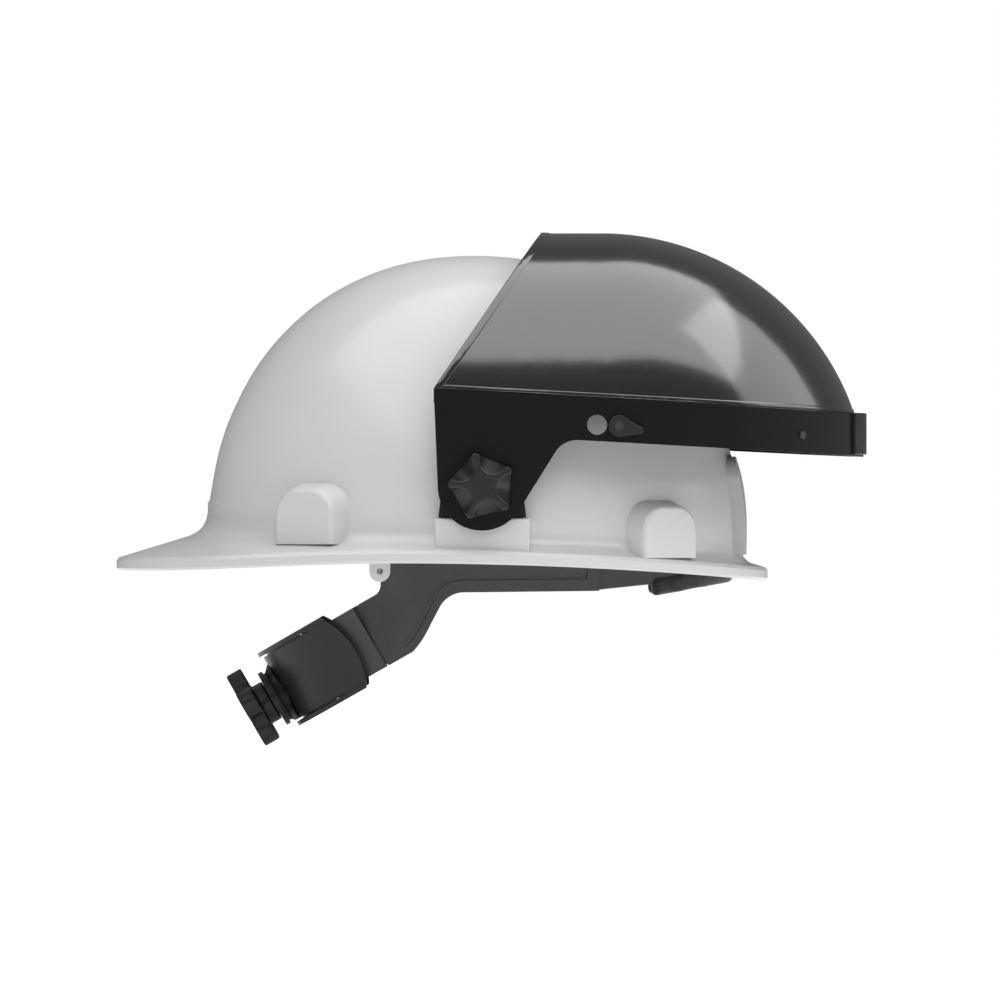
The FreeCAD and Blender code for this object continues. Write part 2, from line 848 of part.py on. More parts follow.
def ovalWall(grow, thick, z0, z1):
    """Upright oval wall round the head, its inner face grown from the headband's outer face."""
    ovals = [Part.Ellipse(Vector(bandCentreX, 0, z0), bandHalfLength + size, bandHalfWidth + size)
             for size in (grow + thick, grow)]
    face = Part.Face([Part.Wire([oval.toShape()]) for oval in ovals])
    face.validate()
    return face.extrude(Vector(0, 0, z1 - z0))


def makeHeadband():
    reach = bandCentreX + bandHalfLength + 2 * beyond
    steps = [
        (-reach, bandRearBottom), (bandRearX - 1, bandRearBottom),
        (bandRearX + 3, bandRearBottom - 2, bandRearX + 4.5, bandRearBottom - 6),
        (bandRearX + bandStep, bandBottom), (bandLiftX, bandBottom),
        (reach, bandBottom + bandLift * (reach - bandLiftX)),
        (reach, bandTop), (-reach, bandTop - 2),
    ]
    return ovalWall(-bandThick, bandThick, -1, bandTop + beyond).common(sidePrism(steps, -reach, reach))


def ratchetPlacement():
    """Placement of the ratchet's own frame, with its X axis out along the knob's axis."""
    axis = ratchetAxis()
    centre = Vector(caseOuterX, 0, caseOuterZ) - axis * caseOuterRadius()
    spin = Rotation(Vector(0, 1, 0), -ratchetTilt).multiply(Rotation(Vector(0, 0, 1), 180))
    return Placement(centre, spin)


def ratchetAxis():
    tilt = math.radians(ratchetTilt)
    return Vector(-math.cos(tilt), 0, -math.sin(tilt))


def channelOuter():
    return arcRadius + rackSplit + rackThick + channelGap


def caseOuterRadius():
    return channelOuter() + caseWall


def buttPoint():
    """Where the left rack's end meets the nape strap, in the helmet's frame."""
    turn = math.radians(-rackEnd)
    local = Vector(arcRadius * math.cos(turn), arcRadius * math.sin(turn), 0)
    return ratchetPlacement().multVec(local)


def strapCurve(shift):
    """Plan curve of the left nape strap, moved outward by shift, from its front end to the rack."""
    butt = buttPoint()
    heading = math.radians(rackEnd)
    points = []
    for x in [strapFrontX - step for step in strapCurveSteps] + [bandRearX + 6, bandRearX - 2]:
        share = (x - bandCentreX) / bandHalfLength
        y = bandHalfWidth * math.sqrt(1 - share ** 2)
        normal = Vector(share / bandHalfLength, y / bandHalfWidth ** 2, 0).normalize()
        points.append(Vector(x, y, 0) + normal * (strapGap + shift))
    tangent = Vector(-math.sin(heading), -math.cos(heading), 0)
    normal = Vector(-tangent.y, tangent.x, 0) * -1
    last = Vector(butt.x, butt.y - strapThick / 2, 0) + normal * shift
    middle = (points[-1] + last) * 0.5 + Vector(0, 2.0, 0)
    points += [middle, last, last + tangent * strapCurveLead]
    curve = Part.BSplineCurve()
    curve.interpolate(Points=points)
    return curve


def strapWall(thick):
    """Upright wall along the left nape strap's plan curve."""
    inner, outer = strapCurve(0), strapCurve(thick)
    ends = [
        Part.LineSegment(inner.StartPoint, outer.StartPoint).toShape(),
        Part.LineSegment(inner.EndPoint, outer.EndPoint).toShape(),
    ]
    wire = Part.Wire(Part.__sortEdges__([inner.toShape(), outer.toShape()] + ends))
    return moved(Part.Face(wire).extrude(Vector(0, 0, aboveAll)), 0, 0, -aboveAll / 2)


def strapOutline():
    """Side outline of the nape strap: it drops from under the brim to meet the rack square."""
    axis = ratchetAxis()
    across = Vector(axis.z, 0, -axis.x)
    end = buttPoint() - axis * buttGap
    high = end + across * (rackHeight / 2 + rackRaise)
    low = end - across * (rackHeight / 2 - rackRaise)
    topFront = high - axis * strapTopStraight
    lowFront = low - axis * strapLowStraight
    return [
        (high.x, high.z), (topFront.x, topFront.z),
        (topFront.x + 2, topFront.z + 2.2, topFront.x + 2.7, topFront.z + 5.2),
        (topFront.x + 3, bandRearBottom - 1.5), (bandRearX - 2.5, bandRearBottom - 1.5),
        (bandRearX - 1.5, strapTop), (strapFrontX, strapTop),
        (strapFrontX, strapBottom), (bandRearX + 10, strapBottom - 0.6),
        (bandRearX + 2.5, strapBottom - 2.6, bandRearX - 2, strapBottom - 7.7),
        (bandRearX - 6.5, strapBottom - 16.2),
        (bandRearX - 8.6, strapBottom - 20.3, lowFront.x, lowFront.z),
        (low.x, low.z),
    ]


def strapBead():
    """Raised line that follows the nape strap's lower edge."""
    outline = Part.Face(outlineWire(strapOutline(), lambda x, z: Vector(x, 0, z)))
    ring = outline.makeOffset2D(-beadInset).cut(outline.makeOffset2D(-beadInset - beadWidth))
    frontX = strapFrontX - beadInset
    steps = [(beadStartX, -aboveAll), (frontX, -aboveAll), (frontX, beadFrontZ), (bandRearX, beadFrontZ),
             (beadStartX, beadStartZ)]
    lowerEdge = sidePrism(steps, 0, aboveAll)
    return ring.extrude(Vector(0, aboveAll, 0)).common(lowerEdge).common(strapWall(strapThick + beadProud))


def makeNapeStrap(side):
    strap = strapWall(strapThick).common(sidePrism(strapOutline(), 0, aboveAll))
    return onSide(strap.fuse(strapBead()).removeSplitter(), side)


def makeSweatband():
    """Brow pad inside the headband, folded round its lower edge, and rising to the front with it."""
    reach = bandCentreX + bandHalfLength + 4 * beyond
    wedge = box(sweatbandFrontX, reach, -reach, reach, -4 * beyond, bandTop)
    inset = bandThick + sideGap + padThick
    fold = bandBottom - sideGap
    foldLow = fold - padThick * padFoldShare
    inside = ovalWall(-inset, padThick, foldLow, bandTop - padTopGap)
    outside = ovalWall(sideGap, padHem, foldLow, padHemTop)
    under = ovalWall(-inset, inset + sideGap + padHem, foldLow, fold - sideGap)
    pad = unite([inside.common(wedge), outside.common(wedge), under.common(wedge)])
    rise = Matrix()
    rise.A31 = padLift
    rise.A34 = -padLift * sweatbandFrontX
    return pad.transformGeometry(rise)


def tapeLean():
    """How far a crown tape's corner is ahead of its middle towards a key, where that is the most."""
    walls = [wallFrame(bossAngles["rear"]), wallFrame(-bossAngles["front"])]
    rear, front = (wall.multVec(Vector(-shellWall - keyWallGap - keyThick, 0, 0)) for wall in walls)
    run = (front - rear).normalize()
    outward = [wall.Rotation.multVec(Vector(1, 0, 0)) for wall in walls]
    return tapeWidth / 2 * max(run.cross(out).Length for out in outward)


def tapeEnds(side):
    """Feet of the crown tape that starts at the rear on one side and ends at the front on the other."""
    depth = shellWall + keyWallGap + keyThick + tapeClearance + tapeLean()
    return [wallFrame(sign * bossAngles[name]).multVec(Vector(-depth, 0, 0))
            for name, sign in (("rear", side), ("front", -side))]


def makeTape(side, drop):
    """Woven tape over the head, an arch in the upright plane through its two feet."""
    rear, front = tapeEnds(side)
    span = front - rear
    half = span.Length / 2
    middle = (rear + front) * 0.5
    wires = []
    for inset in (0, tapeThick):
        points = []
        for index in range(tapeSteps + 1):
            turn = math.pi * index / tapeSteps
            across = (half - inset) * math.copysign(abs(math.cos(turn)) ** tapeArch, math.cos(turn))
            rise = (tapeRise - drop - inset) * abs(math.sin(turn)) ** tapeArch
            points.append(Vector(across, 0, tapeFoot + rise))
        curve = Part.BSplineCurve()
        curve.interpolate(Points=points)
        wires.append(curve)
    ends = [Part.LineSegment(wires[0].StartPoint, wires[1].StartPoint).toShape(),
            Part.LineSegment(wires[0].EndPoint, wires[1].EndPoint).toShape()]
    wire = Part.Wire(Part.__sortEdges__([wires[0].toShape(), wires[1].toShape()] + ends))
    arch = moved(Part.Face(wire).extrude(Vector(0, tapeWidth, 0)), 0, -tapeWidth / 2)
    arch = turned(arch, math.degrees(math.atan2(span.y, span.x)))
    return moved(arch, middle.x, middle.y, 0)


def makeKey(name, side):
    angle = bossAngles[name]
    under = underBrim(angle)
    bladeIn = socketInset + (socketThick - keyThick) / 2
    bladeOut = bladeIn + keyThick
    half = socketWidth / 2 - keyClearance
    foot = under - keyDrop
    wallOut = -shellWall - keyWallGap
    wallIn = wallOut - keyThick
    blade = box(bladeIn, bladeOut, -half, half, foot, under + bossRises[name] - socketRoof - 1)
    shelf = box(wallIn, bladeOut, -half, half, foot, foot + keyShelf)
    upright = box(wallIn, wallOut, -half, half, foot, foot + keyRise)
    window = box(wallIn - 1, wallOut + 1, keyRim - half, half - keyRim,
                 foot + keyWindowLow, foot + keyWindowHigh)
    key = unite([blade, shelf, upright]).cut(window)
    return placed(key, wallFrame(angle if side == "left" else -angle))


# Ratchet, drawn in its own frame

def sector(r0, r1, a0, a1, z0, z1):
    """Arc-shaped block between two radii, two angles and two heights."""
    def at(radius, degrees):
        return radius * math.cos(math.radians(degrees)), radius * math.sin(math.radians(degrees))
    mid = (a0 + a1) / 2
    steps = [at(r0, a0), at(r1, a0), at(r1, mid) + at(r1, a1), at(r0, a1), at(r0, mid) + at(r0, a0)]
    return planPrism(steps, z0, z1)


def rackLimits(side):
    if side == "left":
        return arcRadius - rackSplit - rackThick, arcRadius - rackSplit, -1
    return arcRadius + rackSplit, arcRadius + rackSplit + rackThick, 1


def makeRack(side):
    """Toothed end of a nape strap. The left rack's teeth are above the pinion, the right one's below."""
    inner, outer, hand = rackLimits(side)
    fullIn = arcRadius - rackSplit - rackThick
    fullOut = arcRadius + rackSplit + rackThick
    bottom, top = rackRaise - rackHeight / 2, rackRaise + rackHeight / 2

    def span(r0, r1, start, end, z0, z1):
        a0, a1 = sorted((hand * start, hand * end))
        return sector(r0, r1, a0, a1, z0, z1)

    body = span(inner, outer, -rackTip, rackThinEnd, bottom, top)
    tail = span(fullIn, fullOut, rackThinEnd - rackSplit * 2, rackEnd, bottom, top)
    clear = pitchRadius + toothDepth / 2 + toothClear
    window = span(fullIn - 1, fullOut + 1, -slotNear, slotFar, -clear - toothSink, clear + toothSink)
    rack = body.fuse(tail).cut(window)
    pitch = 2 * math.pi * pitchRadius / pinionTeeth
    toothEdge = 1 if side == "left" else -1
    tip = pitchRadius - toothDepth / 2 + toothClear
    teeth = []
    step = math.degrees(pitch / arcRadius)
    low = int(-(slotNear - 3) / step)
    high = int((slotFar - 3) / step)
    for index in range(low, high + 1):
        root = toothEdge * (clear + rackEdge)
        corners = [(-toothRootHalf, root), (toothRootHalf, root),
                   (toothTipHalf, toothEdge * tip), (-toothTipHalf, toothEdge * tip)]
        wire = outlineWire(corners, lambda y, z: Vector(inner, y, z))
        tooth = Part.Face(wire).extrude(Vector(outer - inner, 0, 0))
        teeth.append(turned(tooth, hand * index * step))
    return unite([rack] + teeth)


def makePinion():
    """Pinion and its shaft, along the local X axis."""
    root = pitchRadius - toothDepth / 2 - pinionRoot
    tip = pitchRadius + toothDepth / 2
    start = channelFloor() + pinionFloorGap
    length = channelOuter() - pinionEndGap - start
    gear = Part.makeCylinder(root, length, Vector(start, 0, 0), Vector(1, 0, 0))
    pieces = [gear]
    for index in range(pinionTeeth):
        corners = [(-toothRootHalf, root - toothSink), (toothRootHalf, root - toothSink),
                   (toothTipHalf, tip), (-toothTipHalf, tip)]
        wire = outlineWire(corners, lambda y, z: Vector(start, y, z))
        tooth = Part.Face(wire).extrude(Vector(length, 0, 0))
        spacing = 360 / pinionTeeth
        pieces.append(turned(tooth, spacing * (index + 0.5), Vector(1, 0, 0)))
    shaftEnd = dialStart() + hubLength + shaftGrip
    bearing = channelFloor() - coverWall
    pieces.append(Part.makeCylinder(shaftRadius, shaftEnd - bearing, Vector(bearing, 0, 0), Vector(1, 0, 0)))
    return unite(pieces)


def channelFloor():
    return arcRadius - rackSplit - rackThick - channelGap


def channelSides():
    """Lowest and highest point of the channel that the racks slide in."""
    half = rackHeight / 2 + channelSide
    return rackRaise - half, rackRaise + half


def caseEnd(shift):
    """Everything beyond the case's arched ends, which are moved outward by shift."""
    far = 2 * caseOuterRadius()
    low, high = channelSides()
    steps = [
        (far, high + arcRadius), (caseEndTop - shift, high + arcRadius),
        (caseEndTop - shift, high + caseSide),
        (caseEndMiddle - shift, (low + high) / 2 - 1, caseEndBottom - shift, low - caseSide),
        (caseEndBottom - shift, low - arcRadius), (far, low - arcRadius),
    ]
    return sidePrism(steps, -2 * arcRadius, 2 * arcRadius)


def makeCaseOuter():
    inner, outer = channelOuter(), caseOuterRadius()
    floor = channelFloor()
    low, high = channelSides()
    wide = caseHalfAngle
    wall = sector(inner, outer, -wide, wide, low - caseSide + flangeThick, high + caseSide - flangeThick)
    sides = [sector(floor - coverSeam + coverLap, outer, -wide, wide, z, z + caseSide)
             for z in (low - caseSide, high)]
    flanges = [sector(outer - 1, outer + flangeProud, -wide, wide, z, z + flangeThick)
               for z in (low - caseSide, high + caseSide - flangeThick)]
    cuff = sector(outer - cuffProud, outer + cuffProud, -wide, wide, low - caseSide, high + caseSide)
    cuff = cuff.cut(caseEnd(-cuffWidth))
    neck = Part.makeCylinder(neckRadius, neckLength + caseWall, Vector(inner, 0, 0), Vector(1, 0, 0))
    flare = Part.makeCone(neckRadius + flareWidth, neckRadius, flareWidth, Vector(outer - flareSink, 0, 0),
                          Vector(1, 0, 0))
    collar = Part.makeCylinder(collarRadius, collarThick, Vector(outer + neckLength - collarThick, 0, 0),
                               Vector(1, 0, 0))
    case = unite([wall] + sides + flanges + [cuff, neck, flare, collar]).common(caseEnd(0))
    slitEnd = math.degrees(math.acos((caseEndTop + cuffWidth) / outer))
    slits = [sector(outer - flangeSlitDepth, outer + beyond, -slitEnd, slitEnd, z, z + flangeSlit)
             for z in (low - caseSide + flangeThick, high + caseSide - flangeThick - flangeSlit)]
    recess = inner + detentRecess
    track = detentRadius + detentTrack
    drum = Part.makeCylinder(track, neckLength - 2, Vector(recess, 0, 0), Vector(1, 0, 0))
    notches = []
    for index in range(detentNotches):
        notch = Part.makeCylinder(detentNose, neckLength - 2, Vector(recess, track, 0), Vector(1, 0, 0))
        notches.append(turned(notch, 360 * index / detentNotches, Vector(1, 0, 0)))
    bore = Part.makeCylinder(shaftRadius + runningGap, neckLength + arcRadius / 2, Vector(inner - 2, 0, 0),
                             Vector(1, 0, 0))
    return case.cut(Part.makeCompound(slits)).cut(Part.makeCompound([drum, bore] + notches)).cut(
        Part.makeCompound(screwShanks(screwRadius, coverWall + screwGrip + 1)))


def screwSpots():
    """Turn and height of each of the four screws."""
    low, high = channelSides()
    heights = (low - caseSide / 2, high + caseSide / 2)
    return [(angle, z) for angle in (-screwAngle, screwAngle) for z in heights]


def screwShanks(radius, length):
    start = channelFloor() - coverWall - screwSeat * 2
    return [turned(Part.makeCylinder(radius, length, Vector(start, 0, z), Vector(1, 0, 0)), angle)
            for angle, z in screwSpots()]


def makeScrews():
    """Four screws through the inner cover into the case's upper and lower walls."""
    start = channelFloor() - coverWall - screwHeadThick - screwSeat
    screws = []
    for (angle, z), shank in zip(screwSpots(), screwShanks(screwRadius, coverWall + screwGrip)):
        head = Part.makeCylinder(screwHeadRadius, screwHeadThick, Vector(start, 0, z), Vector(1, 0, 0))
        screws.append(shank.fuse(turned(head, angle)))
    return Part.makeCompound(screws)


def makeCaseCover():
    """Inner half of the ratchet's case; its raised middle closes the channel."""
    outer = channelFloor()
    low, high = channelSides()
    wide = caseHalfAngle - 1
    cover = sector(outer - coverWall, outer - coverSeam, -wide, wide, low - caseSide, high + caseSide)
    ledge = sector(outer - coverSeam - coverLap, outer, -wide, wide, low + coverGap, high - coverGap)
    holes = screwShanks(screwRadius + screwClearance, coverWall + beyond)
    holes.append(Part.makeCylinder(shaftRadius + runningGap, 2 * beyond, Vector(outer - coverWall - 1, 0, 0),
                                   Vector(1, 0, 0)))
    return unite([cover, ledge]).common(caseEnd(-coverEndGap)).cut(Part.makeCompound(holes))


def makeNapePad():
    outer = channelFloor() - coverWall - coverGap
    low, high = channelSides()
    wide = napePadHalfAngle
    return sector(outer - napePadThick, outer, -wide, wide, low + napePadHem, high - napePadHem)


def makeDetent():
    inner = channelOuter() + detentRecess + sideGap
    thick = neckLength - 2.8
    disc = Part.makeCylinder(detentHub, thick, Vector(inner, 0, 0), Vector(1, 0, 0))
    arms = []
    for index in range(3):
        arm = sectorX(detentRadius - detentArm, detentRadius, 0, detentArmTurn, inner, inner + thick)
        root = sectorX(detentRootRadius, detentRadius, -8, 10, inner, inner + thick)
        nose = Part.makeCylinder(detentNose, thick, Vector(inner, detentRadius, 0), Vector(1, 0, 0))
        nose = turned(nose, detentNoseTurn, Vector(1, 0, 0))
        arms.append(turned(unite([arm, root, nose]), 120 * index, Vector(1, 0, 0)))
    bore = Part.makeCylinder(shaftRadius, thick + 2, Vector(inner - 1, 0, 0), Vector(1, 0, 0))
    return unite([disc] + arms).cut(bore)


def sectorX(r0, r1, a0, a1, x0, x1):
    """Arc-shaped block about the local X axis; angles from local Y."""
    flat = sector(r0, r1, a0, a1, x0, x1)
    return turned(flat, 120, Vector(1, 1, 1))


def dialStart():
    return caseOuterRadius() + neckLength + dialGap


def makeDial():
    face = turned(lobedFace(dialRadius, dialLobes, dialLobeDepth, 0), dialTurn)
    disc = face.extrude(Vector(0, 0, dialThick))
    disc = moved(turned(disc, 90, Vector(0, 1, 0)), dialStart() + hubLength)
    hub = Part.makeCylinder(hubRadius, hubLength + 1, Vector(dialStart(), 0, 0), Vector(1, 0, 0))
    bore = Part.makeCylinder(shaftRadius, hubLength + shaftGrip + 1, Vector(dialStart() - 1, 0, 0),
                             Vector(1, 0, 0))
    return unite([disc, hub]).cut(bore)


def makePatch():
    """Stitched patch under the crossing of the two crown tapes."""
    rear, front = tapeEnds(1)
    share = rear.y / (rear.y - front.y)
    x = rear.x + (front.x - rear.x) * share
    top = tapeFoot + tapeRise - 2 * tapeThick - 1.4
    return box(x - 12, x + 12, -12, 12, top - 3.2, top - 2.2)


nodes = {"shell": makeShell(), "crown_protector": makeCrown(), "carrier_frame": makeFrame(),
         "front_strip": makeStrip(), "headband": makeHeadband(), "sweatband": makeSweatband(),
         "crown_strap_upper": makeTape(1, 0), "crown_strap_lower": makeTape(-1, 2 * tapeThick - 0.6),
         "crown_patch": makePatch()}
for hand in ("left", "right"):
    nodes["slot_adapter_" + hand] = makeAdapter(hand)
    nodes["pivot_bolt_" + hand] = makeBolt(hand)
    nodes["friction_washer_" + hand] = makeWasher(hand)
    nodes["star_knob_" + hand] = makeStarKnob(hand)
    nodes["knob_insert_" + hand] = makeInsert(hand)
    nodes["window_latch_" + hand] = makeLatch(hand)
    nodes["latch_pin_" + hand] = makeLatchPin(hand)
    nodes["window_pin_" + hand] = makeWindowPin(1 if hand == "left" else -1)
    nodes["nape_strap_" + hand] = makeNapeStrap(hand)
    for end in ("front", "rear"):
        nodes["key_" + end + "_" + hand] = makeKey(end, hand)
ratchetPieces = {
    "ratchet_case": makeCaseOuter, "case_cover": makeCaseCover, "case_screws": makeScrews,
    "nape_pad": makeNapePad, "pinion": makePinion, "detent_disc": makeDetent, "ratchet_knob": makeDial,
    "rack_left": lambda: makeRack("left"), "rack_right": lambda: makeRack("right"),
}
for name, make in ratchetPieces.items():
    nodes[name] = placed(make(), ratchetPlacement())

os.makedirs("parts", exist_ok=True)
for name, shape in nodes.items():
    shape.exportStep("parts/" + name + ".step")
    print(name, shape.isValid(), len(shape.Solids), round(shape.Volume, 1))
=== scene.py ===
import json
import math
import bpy
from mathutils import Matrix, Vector


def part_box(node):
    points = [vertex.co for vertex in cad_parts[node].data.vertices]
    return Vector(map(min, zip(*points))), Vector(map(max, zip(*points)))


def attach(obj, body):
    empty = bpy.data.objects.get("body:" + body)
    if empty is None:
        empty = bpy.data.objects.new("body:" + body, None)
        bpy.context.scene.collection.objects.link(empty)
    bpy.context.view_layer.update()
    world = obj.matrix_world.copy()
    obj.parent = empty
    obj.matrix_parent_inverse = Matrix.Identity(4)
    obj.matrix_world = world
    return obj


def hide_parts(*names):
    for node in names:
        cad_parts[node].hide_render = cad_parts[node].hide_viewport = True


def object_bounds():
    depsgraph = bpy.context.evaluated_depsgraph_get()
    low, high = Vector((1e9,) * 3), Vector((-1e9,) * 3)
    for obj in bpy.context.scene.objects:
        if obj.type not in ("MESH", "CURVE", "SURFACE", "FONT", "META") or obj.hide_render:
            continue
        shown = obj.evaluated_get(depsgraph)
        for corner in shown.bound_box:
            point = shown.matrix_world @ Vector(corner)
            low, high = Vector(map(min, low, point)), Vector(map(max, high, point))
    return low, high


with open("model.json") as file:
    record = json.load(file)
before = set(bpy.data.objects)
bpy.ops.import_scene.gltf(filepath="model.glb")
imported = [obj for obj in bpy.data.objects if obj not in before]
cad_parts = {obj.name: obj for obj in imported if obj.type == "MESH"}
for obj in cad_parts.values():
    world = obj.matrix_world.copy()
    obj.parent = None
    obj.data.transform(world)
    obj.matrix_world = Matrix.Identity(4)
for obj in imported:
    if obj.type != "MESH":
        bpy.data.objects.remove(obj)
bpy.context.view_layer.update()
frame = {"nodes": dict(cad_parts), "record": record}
scene = bpy.context.scene


# view and studio

studio = {
    "aim": (0.0090, 0.0, 0.0405),   # middle of the view
    "distance": 5.0,
    "lightsAim": (0.02, 0, 0.06),
    "sensor": 36,
    "farthest": 50,
    "viewWidth": 0.450,             # what the frame's width shows at the hat's middle
    "floorDrop": 0.012,             # the hat hangs on a head, so the floor is a little under it
    "floorWidth": 6.0,
    "floorShade": 0.85,
    "floorRoughness": 0.9,
    "floorGlow": (0.34, 0.85),      # what the floor sends onto the hat, and to the camera
    "roomLight": 0.13,              # what the room sends onto the hat
}

softBoxes = {
    # name: place, width, height, power in watts
    "tent": ((0.25, -0.56, 1.86), 4.4, 3.6, 84),
    "frontEdge": ((2.1, 0.05, 1.25), 2.2, 2.0, 17),
}


def setUpView():
    aim = Vector(studio["aim"])
    bpy.ops.object.camera_add(location=(aim.x, -studio["distance"], aim.z), rotation=(math.pi / 2, 0, 0))
    camera = bpy.context.object
    camera.data.sensor_width = studio["sensor"]
    camera.data.lens = studio["sensor"] * studio["distance"] / studio["viewWidth"]
    camera.data.clip_end = studio["farthest"]
    scene.camera = camera
    print("view set up")


def setUpSoftBoxes():
    target = Vector(studio["lightsAim"])
    for name, (place, width, height, power) in softBoxes.items():
        turn = (target - Vector(place)).to_track_quat("-Z", "Y").to_euler()
        bpy.ops.object.light_add(type="AREA", location=place, rotation=turn)
        lamp = bpy.context.object
        lamp.name = name
        lamp.data.shape = "RECTANGLE"
        lamp.data.size, lamp.data.size_y, lamp.data.energy = width, height, power


def glowFrom(tree, onHat, toCamera):
    # a strength that is lower for the light that falls on the hat than for what the camera sees
    path = tree.nodes.new("ShaderNodeLightPath")
    share = tree.nodes.new("ShaderNodeMapRange")
    share.inputs["To Min"].default_value = onHat
    share.inputs["To Max"].default_value = toCamera
    tree.links.new(path.outputs["Is Camera Ray"], share.inputs["Value"])
    return share.outputs[0]


def setUpRoom():
    # the camera sees a white room, which sends only a little of its light onto the hat
    world = bpy.data.worlds.new("paleRoom")
    world.use_nodes = True
    tree = world.node_tree
    tree.nodes["Background"].inputs["Color"].default_value = (1, 1, 1, 1)
    tree.links.new(glowFrom(tree, studio["roomLight"], 1), tree.nodes["Background"].inputs["Strength"])
    scene.world = world
    scene.view_settings.view_transform = "Standard"


def setUpFloor():
    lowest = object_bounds()[0][2]
    place = (0, 0, lowest - studio["floorDrop"])
    bpy.ops.mesh.primitive_plane_add(size=studio["floorWidth"], location=place)
    floor = bpy.context.object
    floor.name = "studioFloor"
    material = bpy.data.materials.new("paleFloor")
    material.use_nodes = True
    shader = material.node_tree.nodes["Principled BSDF"]
    shader.inputs["Base Color"].default_value = (*[studio["floorShade"]] * 3, 1)
    shader.inputs["Roughness"].default_value = studio["floorRoughness"]
    shader.inputs["Emission Color"].default_value = (1, 1, 1, 1)
    tree = material.node_tree
    tree.links.new(glowFrom(tree, *studio["floorGlow"]), shader.inputs["Emission Strength"])
    floor.data.materials.append(material)
    print("studio set up")


# materials

def nodeSocket(group, name, kind, out=False, value=None):
    socket = group.interface.new_socket(name, in_out="OUTPUT" if out else "INPUT", socket_type=kind)
    if value is not None:
        socket.default_value = value
    return socket


def mathsIn(group):
    # a way to add sums to a group, from numbers and other nodes' outputs
    def maths(kind, first, second=None, third=None):
        node = group.nodes.new("ShaderNodeMath")
        node.operation = kind
        for index, value in enumerate((first, second, third)):
            if isinstance(value, (int, float)):
                node.inputs[index].default_value = value
            elif value is not None:
                group.links.new(value, node.inputs[index])
        return node.outputs[0]
    return maths


plasticPattern = {
    "cloudScale": 26,
    "cloudDetail": 4,
    "speckScale": 900,
    "speckShare": 0.69,      # noise above this is a speck of dust
    "dustDulls": 0.6,
    "cloudHeight": 0.25,
}


def makeMouldedGroup():
    # moulded plastic: faint flow clouds, a fine grain and sparse dust
    group = bpy.data.node_groups.new("mouldedPlastic", "ShaderNodeTree")
    nodeSocket(group, "Vector", "NodeSocketVector")
    nodeSocket(group, "Grain Scale", "NodeSocketFloat", value=1800)
    nodeSocket(group, "Grain", "NodeSocketFloat", value=0.3)
    nodeSocket(group, "Clouds", "NodeSocketFloat", value=0.3)
    nodeSocket(group, "Dust", "NodeSocketFloat", value=0.3)
    nodeSocket(group, "Shade", "NodeSocketFloat", True)
    nodeSocket(group, "Rough Shift", "NodeSocketFloat", True)
    nodeSocket(group, "Height", "NodeSocketFloat", True)
    nodes, links = group.nodes, group.links
    given = nodes.new("NodeGroupInput")
    result = nodes.new("NodeGroupOutput")

    def noise(scale, detail):
        node = nodes.new("ShaderNodeTexNoise")
        node.inputs["Detail"].default_value = detail
        links.new(given.outputs["Vector"], node.inputs["Vector"])
        if isinstance(scale, str):
            links.new(given.outputs[scale], node.inputs["Scale"])
        else:
            node.inputs["Scale"].default_value = scale
        return node.outputs["Fac"]

    grain = noise("Grain Scale", 2)
    maths = mathsIn(group)
    clouds = noise(plasticPattern["cloudScale"], plasticPattern["cloudDetail"])
    specks = noise(plasticPattern["speckScale"], 1)
    speckMask = maths("GREATER_THAN", specks, plasticPattern["speckShare"])
    dust = maths("MULTIPLY", speckMask, given.outputs["Dust"])
    cloudShift = maths("MULTIPLY", maths("SUBTRACT", clouds, 0.5), given.outputs["Clouds"])
    grainShift = maths("MULTIPLY", maths("SUBTRACT", grain, 0.5), given.outputs["Grain"])
    shade = maths("ADD", maths("MULTIPLY_ADD", grainShift, 0.5, cloudShift), dust)
    links.new(shade, result.inputs["Shade"])
    dulled = maths("MULTIPLY_ADD", dust, plasticPattern["dustDulls"], grainShift)
    links.new(maths("MULTIPLY_ADD", cloudShift, 0.5, dulled), result.inputs["Rough Shift"])
    swell = maths("MULTIPLY", clouds, plasticPattern["cloudHeight"])
    links.new(maths("MULTIPLY_ADD", grain, given.outputs["Grain"], swell), result.inputs["Height"])
    return group


weavePattern = {
    "fuzzScale": 1400,
    "fuzzDetail": 3,
    # strength of the painted light on the weave's crossings and painted shade in its dips
    "paintedWeaveShade": 0.25,
}


